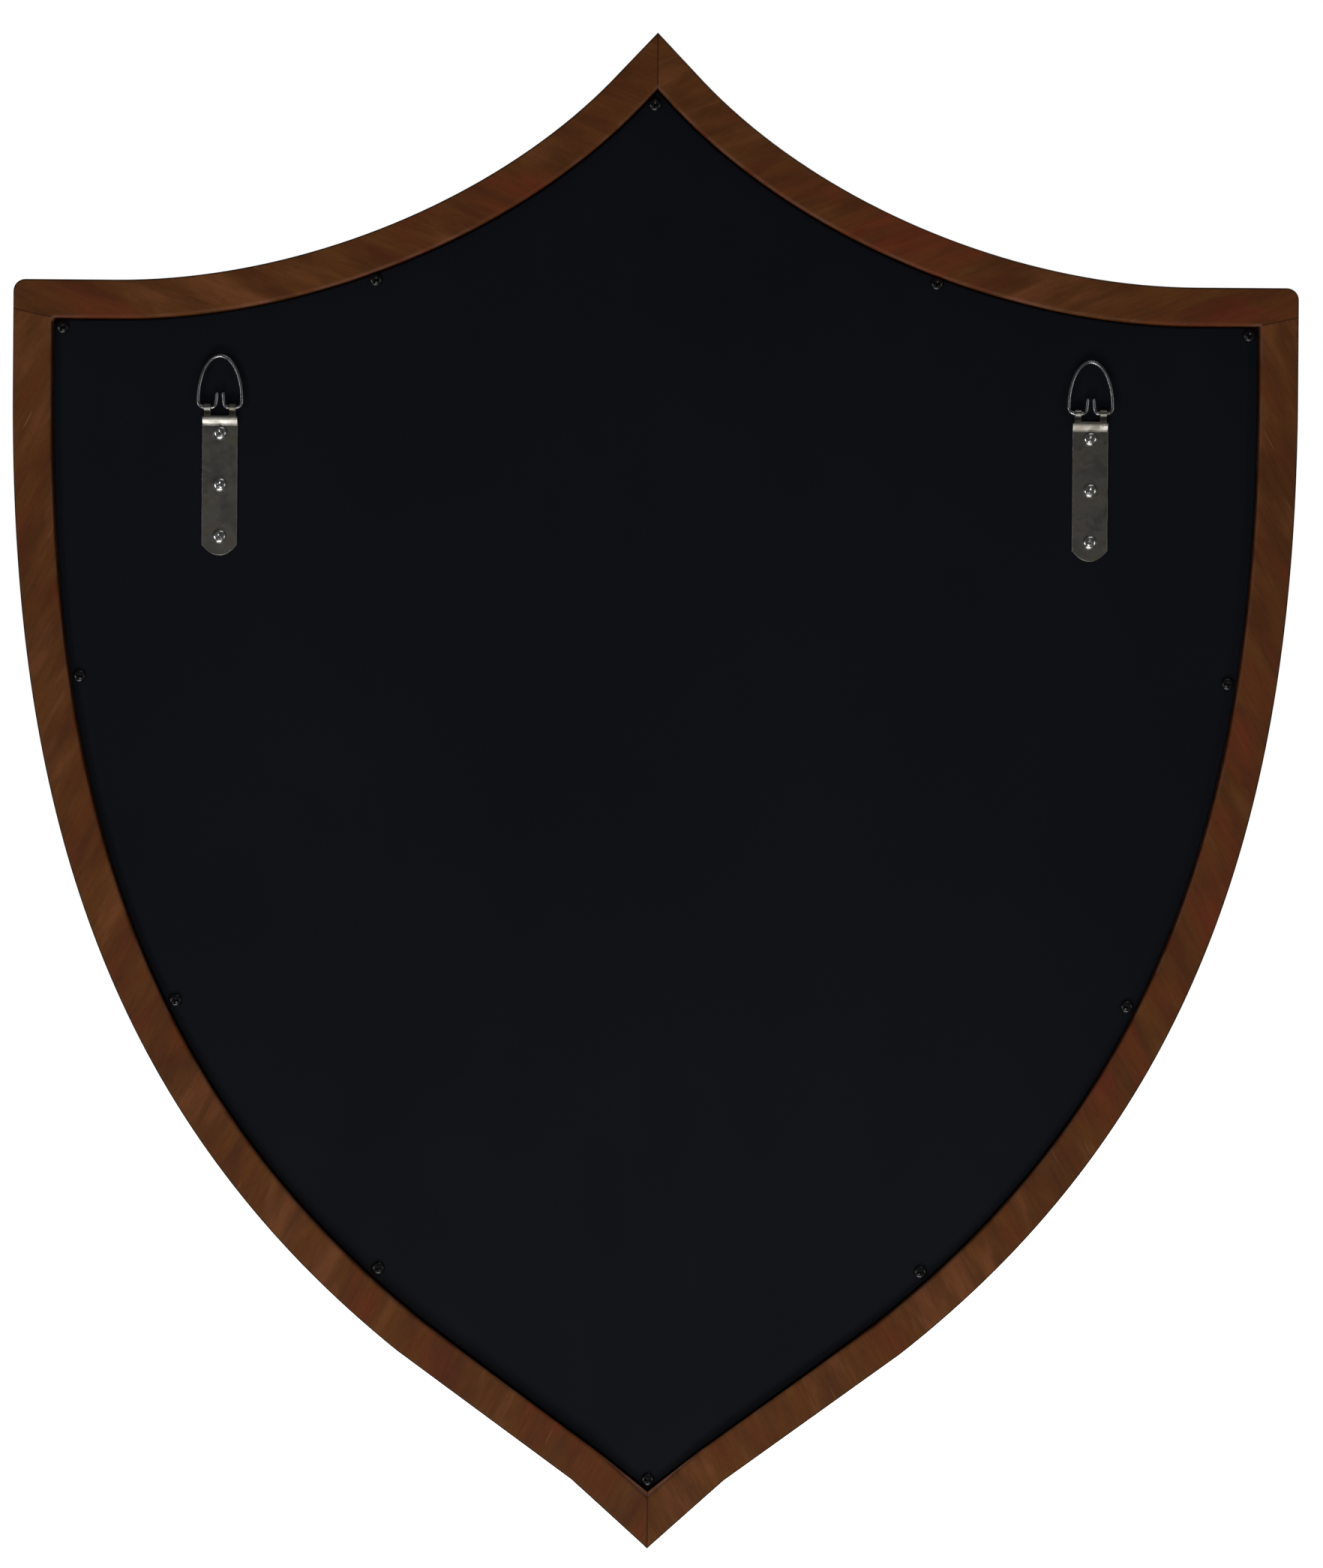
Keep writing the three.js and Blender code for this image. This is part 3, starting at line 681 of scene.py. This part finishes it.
BOARD_SCREW = {"head_radius": 3, "rise": 2, "shank_radius": 1.4, "length": 12}
HANGER_SCREW = {"head_radius": 3.2, "rise": 2, "shank_radius": 1.5, "length": 12}
HEAD_SIDES = 48
DOME = 0.93  # 1 is an ellipse, and less is squarer
DOME_STEPS = 15
RIM_SHARE, RIM_RISE = 0.97, 0.12  # the head's underside, by its radius, and its rim's height
RIM_TOP = 0.2  # share of the head's rise where the dome starts
SHANK_ROWS = 84
UNDER_HEAD = 0.02
THREAD_PITCH = 1.1
THREAD_DEPTH = 0.32
THREAD_SHARPNESS = 3.2
THREAD_START, THREAD_END = 0.2, 1.2  # from the point, and from the head
POINT_LENGTH = 3.2
POINT_RADIUS = 0.02
RANDOM_TURN = 0.35  # radians

# A cross recess: its arms by the head's radius, its depth by the head's rise, and its levels from
# the floor up, as (share of the arms' length, share of the depth).
RECESS_ARM, RECESS_WIDTH, RECESS_DEPTH = 0.62, 0.15, 0.8
RECESS_LEVELS = [(0.04, 1), (0.4, 0.62), (0.8, 0.35), (1, -0.01), (1, -0.5)]


def recess(head_radius, rise):
    """A tool for a cross recess, which narrows nearly to a point."""
    arm, width, depth = head_radius * RECESS_ARM, head_radius * RECESS_WIDTH, rise * RECESS_DEPTH
    loops = []
    for share, down in RECESS_LEVELS:
        level = rise - depth * down
        a, b = arm * share, width * min(share * 1.2, 0.5 + 0.5 * share)
        wing = [(a, -b), (a, b), (b, b)]
        quarter_turns = (wing, [(-z, x) for x, z in wing], [(-x, -z) for x, z in wing],
                         [(z, -x) for x, z in wing])
        loops.append([Vector((x, level, z)) * MM for part in quarter_turns for x, z in part])
    bm = bmesh.new()
    skin(bm, loops)
    return finished("cross_recess", bm)


def screw_profile(head_radius, rise, core, length):
    """A screw from its point to the top of its head, as (radius, y)."""
    profile = []
    for k in range(SHANK_ROWS + 1):
        y = -length + (length - UNDER_HEAD) * k / SHANK_ROWS
        taper = min(1.0, (y + length) / POINT_LENGTH)
        profile.append((max(core * taper ** 0.8, POINT_RADIUS), y))
    profile += [(head_radius * RIM_SHARE, 0), (head_radius, RIM_RISE)]
    for k in range(DOME_STEPS):
        angle = math.pi / 2 * k / DOME_STEPS
        across = head_radius * math.cos(angle) ** DOME
        profile.append((across, rise * (RIM_TOP + (1 - RIM_TOP) * math.sin(angle) ** DOME)))
    return profile + [(head_radius * 0.02, rise)]


def screw_mesh(name, head_radius, rise, shank_radius, length):
    """A pan-head wood screw along Y, seated at y = 0 with its head towards +Y."""
    def thread(angle, y):
        if not -length + THREAD_START < y < -THREAD_END:
            return 0
        turn = (y / THREAD_PITCH + angle / (2 * math.pi)) % 1
        ridge = max(0.0, 1 - abs(turn - 0.5) * THREAD_SHARPNESS)
        fade = min(1.0, (y + length) / POINT_LENGTH)
        return THREAD_DEPTH * ridge * fade

    profile = screw_profile(head_radius, rise, shank_radius - THREAD_DEPTH, length)
    bm = bmesh.new()
    skin(bm, turned(profile, HEAD_SIDES, thread))
    made = finished(name, bm)
    combined(made, recess(head_radius, rise), "DIFFERENCE", smooth_angle=38)
    mesh = made.data
    bpy.data.objects.remove(made)
    return mesh


def screws(ending, mesh, seat_y, material, slot, dice):
    """A screw in place of each CAD screw whose name has that ending, turned a little at random."""
    mesh.materials.clear()
    mesh.materials.append(material)
    for node in nodes_ending(ending):
        low, high = node_box(node)
        made = linked(node.replace("_screw", "_pan_head"), mesh)
        made.location = Vector(((low.x + high.x) / 2, seat_y, (low.z + high.z) / 2)) * MM
        made.rotation_euler.y = dice.uniform(-RANDOM_TURN, RANDOM_TURN)
        settle(made, "plaque", slot, node)


def nodes_ending(ending):
    """The names of the CAD nodes with that ending, in order."""
    return sorted(name for name in frame["nodes"] if name.endswith(ending))


def settle(made, body, slot, *nodes, material=None):
    """Gives a piece its material and body, and lets it stand for its CAD nodes. Its slot is not used."""
    if material:
        made.data.materials.clear()
        made.data.materials.append(material)
    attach(made, body)
    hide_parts(*nodes)


# ---- strap hangers ----------------------------------------------------------------------------------

STRAP_HALF = 8.2
STRAP_TOP, STRAP_BOTTOM = -3.8, -68  # heights from the hinge line, as all here
TOP_ROUND = 1.3
END_CORNER = -63.3
END_CUT = 1.4
END_PULL = 3.6  # how far out the lower arc stays level
ROUND_STEPS, END_STEPS = 6, 10
STRAP_SHEET = 1
SHEET_EASE = 0.28
STEP_BOTTOM, STEP_TOP, STEP_RISE = -8.6, -4.6, 1.6  # the strap steps clear of the board
STEP_MARGIN, STEP_ROWS = 0.3, 14
FIRST_HOLE, HOLE_PITCH, HOLE_RADIUS = -11.7, 23.8, 2.2

# Each lug has a tail, from inside the strap's edge, and an eye curled round the wire, as (y, z)
# from the hinge line. Its edges are eased.
LUG_FROM, LUG_TO = 4.2, 7.4  # from the strap's middle
LUG_TAIL = [(-0.1, STRAP_TOP - 0.35), (-0.12, STRAP_TOP + 0.1), (-0.45, -2.75), (-0.98, -1.75)]
EYE_ROOT, EYE_OPENING = 208, -52  # degrees
EYE_STEPS = 24
LUG_MIDDLE, LUG_THICK = 1.45, 0.84
LUG_EASE, LUG_EASE_SHARE = 0.16, 0.6

# Half of the ring's wire, as (x, z) from the hinge line up to where its arch starts.
WIRE_RADIUS = 0.9
RING_RISE, RING_HALF, RING_SHOULDER = 23.6, 10, 3.6
TURNED_END = [(1.35, 6.9), (1.6, 4), (1.95, 1.5), (2.5, 0.45)]
RING_LEG = [(3.3, 0), (4.7, 0), (6.2, 0), (7.6, 0)]
RING_CORNER = [(9.3, 0.7), (RING_HALF, 2.3)]
WIRE_END = [(0, 0.45), (0.12, 0.8), (0.35, 0.97)]  # (distance in, share of the wire's radius)
ARCH_STEPS, WIRE_STEPS, WIRE_SIDES = 7, 6, 20


def strap_plan():
    """Right half of the strap's outline from its top to its bottom, as (x, z)."""
    points = [Vector((0, STRAP_TOP))]
    for k in range(ROUND_STEPS + 1):
        angle = math.pi / 2 * k / ROUND_STEPS
        points.append(Vector((
            STRAP_HALF - TOP_ROUND * (1 - math.sin(angle)),
            STRAP_TOP - TOP_ROUND * (1 - math.cos(angle)),
        )))
    points.append(Vector((STRAP_HALF, END_CORNER)))
    shoulder = Vector((STRAP_HALF - END_CUT, END_CORNER - END_CUT))
    pull, low = Vector((END_PULL, STRAP_BOTTOM)), Vector((0, STRAP_BOTTOM))
    for k in range(END_STEPS + 1):
        t = k / END_STEPS
        points.append((1 - t) ** 2 * shoulder + 2 * t * (1 - t) * pull + t * t * low)
    return points


def step_height(z):
    """How far the strap stands off the board at a height."""
    t = min(1.0, max(0.0, (z - STEP_BOTTOM) / (STEP_TOP - STEP_BOTTOM)))
    return STEP_RISE * t * t * (3 - 2 * t)


def lug_section():
    """The lug's cross-section with eased corners, as (x, share of half its thickness)."""
    near, far, soft = LUG_FROM, LUG_TO, LUG_EASE_SHARE
    return [
        (near, -soft), (near + LUG_EASE, -1), (far - LUG_EASE, -1), (far, -soft),
        (far, soft), (far - LUG_EASE, 1), (near + LUG_EASE, 1), (near, soft),
    ]


def lug(side):
    """A lug: a tail from the strap's edge, and an eye curled round the wire."""
    line = [Vector(point) for point in LUG_TAIL]
    for k in range(EYE_STEPS + 1):
        angle = math.radians(EYE_ROOT + (EYE_OPENING - EYE_ROOT) * k / EYE_STEPS)
        line.append(Vector((math.cos(angle), math.sin(angle))) * LUG_MIDDLE)
    loops = []
    for i, point in enumerate(line):
        ahead = line[min(i + 1, len(line) - 1)] - line[max(i - 1, 0)]
        across = Vector((-ahead.y, ahead.x)).normalized() * LUG_THICK / 2
        loop = []
        for x, share in lug_section():
            spot = point + across * share
            loop.append(Vector((side * x, spot.x, spot.y)) * MM)
        loops.append(loop)
    bm = bmesh.new()
    skin(bm, loops)
    return finished("lug", bm, smooth_angle=40)


def strap_sheet():
    """The strap's drilled sheet, cut across where it will bend, and then stepped off the board."""
    half = strap_plan()
    around = half + [Vector((-p.x, p.y)) for p in reversed(half[1:-1])]
    sheet = prism("strap_sheet", around, STRAP_SHEET, 0)
    holes = [(0, FIRST_HOLE - n * HOLE_PITCH) for n in range(3)]
    combined(sheet, drills("strap_holes", holes, HOLE_RADIUS, STRAP_SHEET, 0), "DIFFERENCE")
    eased(sheet, SHEET_EASE, 3)
    bm = bmesh.new()
    bm.from_mesh(sheet.data)
    for k in range(STEP_ROWS + 1):
        level = STEP_BOTTOM - STEP_MARGIN + (STEP_TOP - STEP_BOTTOM + 2 * STEP_MARGIN) * k / STEP_ROWS
        everything = bm.verts[:] + bm.edges[:] + bm.faces[:]
        bmesh.ops.bisect_plane(bm, geom=everything, dist=1e-8, plane_co=(0, 0, level * MM),
                               plane_no=(0, 0, 1))
    for vertex in bm.verts:
        vertex.co.y += (BOARD_BACK_Y + step_height(vertex.co.z / MM)) * MM
    bm.to_mesh(sheet.data)
    bm.free()
    return sheet


def strap_mesh(hinge_y):
    """The strap about its hinge line, with y from the wall."""
    strap = strap_sheet()
    for side in SIDES.values():
        eye = lug(side)
        eye.data.transform(Matrix.Translation((0, hinge_y * MM, 0)))
        combined(strap, eye, "UNION")
    flat_shaded(strap)
    mesh = strap.data
    bpy.data.objects.remove(strap)
    return mesh


def smooth_line(points, steps):
    """A Catmull-Rom line through the points."""
    line = []
    ends = [points[0] * 2 - points[1], *points, points[-1] * 2 - points[-2]]
    for a, b, c, d in zip(ends, ends[1:], ends[2:], ends[3:]):
        for k in range(steps):
            t = k / steps
            line.append(0.5 * (2 * b + (c - a) * t + (2 * a - 5 * b + 4 * c - d) * t * t
                               + (3 * b - 3 * c + d - a) * t ** 3))
    return line + [points[-1]]


def ring_piece(name):
    """The bent wire about its hinge line: two legs with turned-up ends, and an arch."""
    half = TURNED_END + RING_LEG + RING_CORNER
    for k in range(ARCH_STEPS):
        angle = math.pi / 2 * k / ARCH_STEPS
        rise = (RING_RISE - RING_SHOULDER) * math.sin(angle)
        half.append((RING_HALF * math.cos(angle), RING_SHOULDER + rise))
    points = [Vector(p) for p in half] + [Vector((0, RING_RISE))]
    points += [Vector((-x, z)) for x, z in reversed(half)]
    line = smooth_line(points, WIRE_STEPS)
    loops = []
    for i, point in enumerate(line):
        ahead = (line[min(i + 1, len(line) - 1)] - line[max(i - 1, 0)]).normalized()
        across = Vector((-ahead.y, ahead.x))
        stops = [(0, 1)]
        if i == 0:
            stops = WIRE_END
        elif i == len(line) - 1:
            stops = [(-back, share) for back, share in reversed(WIRE_END)]
        for forward, share in stops:
            centre = point + ahead * forward
            loop = []
            for k in range(WIRE_SIDES):
                angle = 2 * math.pi * k / WIRE_SIDES
                flat = centre + across * (WIRE_RADIUS * share * math.cos(angle))
                loop.append(Vector((flat.x, WIRE_RADIUS * share * math.sin(angle), flat.y)) * MM)
            loops.append(loop)
    bm = bmesh.new()
    skin(bm, loops)
    return finished(name, bm, smooth_angle=50)


# ---- the assembly -----------------------------------------------------------------------------------

HANGER_ROWS = ("top", "middle", "bottom")


def build_hangers():
    """The straps are copies of one mesh with a finish each. The rings ride on bodies of their own."""
    wire = worn_steel("ring_finish", RING_STEEL, RING_STAIN, roughness=0.26, stain_amount=0.4,
                      scratch=0.15)
    hinges = {joint["child"]: Vector(joint["pos_m"]) for joint in frame["joints"]}
    mesh = None
    for hand in SIDES:
        hinge = hinges[hand + "_ring"]
        mesh = mesh or strap_mesh(hinge.y / MM)
        strap = linked(hand + "_strap_plate", mesh.copy())
        strap.location = (hinge.x, 0, hinge.z)
        steel = worn_steel(hand + "_strap_finish", STRAP_STEEL, STRAP_STAIN, roughness=0.3,
                           stain_amount=0.7, scratch=0.3, dents=0.1, seed=3 + SIDES[hand])
        settle(strap, "plaque", "strap_steel", hand + "_hanger_strap", material=steel)
        ring = ring_piece(hand + "_ring_wire")
        ring.location = hinge
        settle(ring, hand + "_ring", "ring_steel", hand + "_hanger_ring", material=wire)


def build_frame():
    """The four rails. Each rail's grain runs along it, so each hand has its own angles."""
    brow_grain = {"left": 158, "right": 22}
    flank_grain = {"left": 62, "right": 118}
    for hand in SIDES:
        top, side = rails(hand)
        brow = stained_wood(hand + "_brow_wood", brow_grain[hand], 3 - SIDES[hand], butt_joint=True)
        settle(top, "plaque", "frame_wood", hand + "_top_rail", material=brow)
        flank = stained_wood(hand + "_flank_wood", flank_grain[hand], 9 + SIDES[hand], butt_joint=True)
        settle(side, "plaque", "frame_wood", hand + "_side_rail", material=flank)


def centres(ending):
    """Where the CAD screws with that ending stand, as (x, z)."""
    places = []
    for node in nodes_ending(ending):
        low, high = node_box(node)
        places.append(((low.x + high.x) / 2, (low.z + high.z) / 2))
    return places


def hanger_centres():
    return [place for row in HANGER_ROWS for place in centres(f"_hanger_{row}_screw")]


def build_plates():
    """The black board, and the front panel, with the screws' holes."""
    board = plate("board_panel", BOARD_INSET, BOARD_BACK_Y, LEDGE_Y, BOARD_EASE)
    places = centres("_board_screw") + hanger_centres()
    combined(board, drills("board_drill", places, PILOT_RADIUS, BOARD_BACK_Y, LEDGE_Y), "DIFFERENCE")
    settle(board, "plaque", "board_black", "back_board", material=black_paint())
    face = plate("face_panel", PANEL_INSET, LEDGE_Y, LIP_Y, PANEL_EASE)
    pilot_end = BOARD_BACK_Y - PILOT_DEPTH
    pilots = drills("panel_drill", hanger_centres(), PILOT_RADIUS, LEDGE_Y, pilot_end)
    combined(face, pilots, "DIFFERENCE")
    veneer = stained_wood("face_wood", grain_angle=90, seed=15, light=0.82, gloss=0.36, figure=0.035,
                          contrast=0.35, scored=0)
    settle(face, "plaque", "panel_wood", "front_panel", material=veneer)


def build_hidden_joints():
    """The keys and dowels keep their CAD shapes."""
    ply, peg = bare_wood("key_plywood", 1800), bare_wood("dowel_wood")
    for node, made in frame["nodes"].items():
        if node.endswith("_key") or node.endswith("_dowel"):
            made.data.materials.clear()
            made.data.materials.append(ply if node.endswith("_key") else peg)


def build_screws():
    """The black screws round the board first, and then the bright ones, row by row."""
    dice = random.Random(7)
    black = screw_mesh("black_pan_head", **BOARD_SCREW)
    screws("_board_screw", black, BOARD_BACK_Y, black_oxide(), "black_steel", dice)
    bright = screw_mesh("bright_pan_head", **HANGER_SCREW)
    shine = worn_steel("bright_screw_finish", BRIGHT_STEEL, BRIGHT_STAIN, roughness=0.2,
                       stain_amount=0.3, scratch=0.1)
    for row in HANGER_ROWS:
        screws(f"_hanger_{row}_screw", bright, BOARD_BACK_Y + STRAP_SHEET, shine, "bright_steel", dice)


# ---- the studio ---------------------------------------------------------------------------------------

FLOOR_RADIUS, FLOOR_GAP = 9, 0.001  # metres, as is every length in the studio
BACKDROP_RADIUS = 9.5
WORLD_COLOUR, WORLD_STRENGTH = (0.97, 0.98, 1.0, 1), 0.05
MIDDLE = (0, 0, MIDDLE_Z)

# Soft boxes aimed at the plaque's middle, by their place, width and height, and power in watts.
LIGHTS = {
    "back_low": ((0.3, 1.5, -2.4), (1.9, 0.6), 28),
    "back_glint": ((0.05, 2.2, -1.05), (0.3, 0.3), 5),
    "back_high": ((-0.6, 0.7, 1.8), (1.6, 0.5), 3),
    "back_side": ((1.8, 1.6, -0.4), (0.3, 0.8), 6),
    "back_other_side": ((-2.0, 1.4, -0.2), (0.25, 0.7), 4),
    "front_high": ((-1.3, -1.3, 1.9), (1.0, 0.8), 62),
    "front_side": ((1.9, -1.2, 0.1), (0.8, 1.2), 14),
}

CAMERA_DISTANCE = 2.5
VIEW_HEIGHT = 0.7195  # what the camera takes in at the wall
AIM_X, AIM_Z = -0.0041, -0.1943
LEAN = 0.42  # degrees


def emitter(name, colour, strength):
    g = Graph(name)
    return g.surface(Base_Color=(0, 0, 0, 1), Emission_Color=colour, Emission_Strength=strength,
                     Specular_IOR_Level=0.0, Roughness=1.0)


def build_stage():
    """A pale floor just under the tip, and a pale backdrop all round that only the camera sees."""
    bm = bmesh.new()
    bmesh.ops.create_circle(bm, cap_ends=True, segments=96, radius=FLOOR_RADIUS)
    floor = finished("floor", bm)
    floor.location.z = cad_low.z - FLOOR_GAP
    paper = Graph("floor_paper")
    grain = paper.noise(paper.place(), scale=40, detail=3, rough=0.6)
    shade = paper.ramp(grain, [(0.3, (0.80, 0.80, 0.80, 1)), (0.7, (0.82, 0.82, 0.82, 1))])
    floor.data.materials.append(paper.surface(
        Base_Color=shade, Roughness=0.9, Specular_IOR_Level=0.1,
        Emission_Color=(1, 1, 1, 1), Emission_Strength=0.98,
    ))
    for ray in ("diffuse", "glossy", "shadow"):
        setattr(floor, "visible_" + ray, False)
    bm = bmesh.new()
    bmesh.ops.create_uvsphere(bm, u_segments=48, v_segments=24, radius=BACKDROP_RADIUS)
    dome = finished("backdrop", bm)
    dome.data.materials.append(emitter("backdrop_white", (1, 1, 1, 1), 1.0))
    for ray in ("diffuse", "glossy", "transmission", "volume_scatter", "shadow"):
        setattr(dome, "visible_" + ray, False)


def softbox(name, place, size, power):
    light = bpy.data.lights.new(name, "AREA")
    light.shape = "RECTANGLE"
    light.size, light.size_y = size
    light.energy = power
    made = linked(name, light)
    made.location = place
    made.rotation_euler = (Vector(MIDDLE) - Vector(place)).to_track_quat("-Z", "Y").to_euler()
    made.visible_camera = False


def build_lights():
    world = bpy.data.worlds.new("studio")
    world.use_nodes = True
    fill = world.node_tree.nodes["Background"]
    fill.inputs["Color"].default_value = WORLD_COLOUR
    fill.inputs["Strength"].default_value = WORLD_STRENGTH
    bpy.context.scene.world = world
    for name, (place, size, power) in LIGHTS.items():
        softbox(name, place, size, power)


def build_camera():
    """Square on to the back, and rolled a little."""
    camera = bpy.data.cameras.new("camera")
    camera.sensor_width = 36
    camera.lens = camera.sensor_width * CAMERA_DISTANCE / VIEW_HEIGHT
    camera.clip_end = 60
    made = linked("camera", camera)
    made.location = (AIM_X, CAMERA_DISTANCE, AIM_Z)
    made.rotation_euler = (math.radians(90), math.radians(-LEAN), math.radians(180))
    bpy.context.scene.camera = made


bpy.context.scene.view_settings.view_transform = "Standard"
build_camera()
build_stage()
build_lights()
build_frame()
build_plates()
build_hidden_joints()
build_screws()
build_hangers()
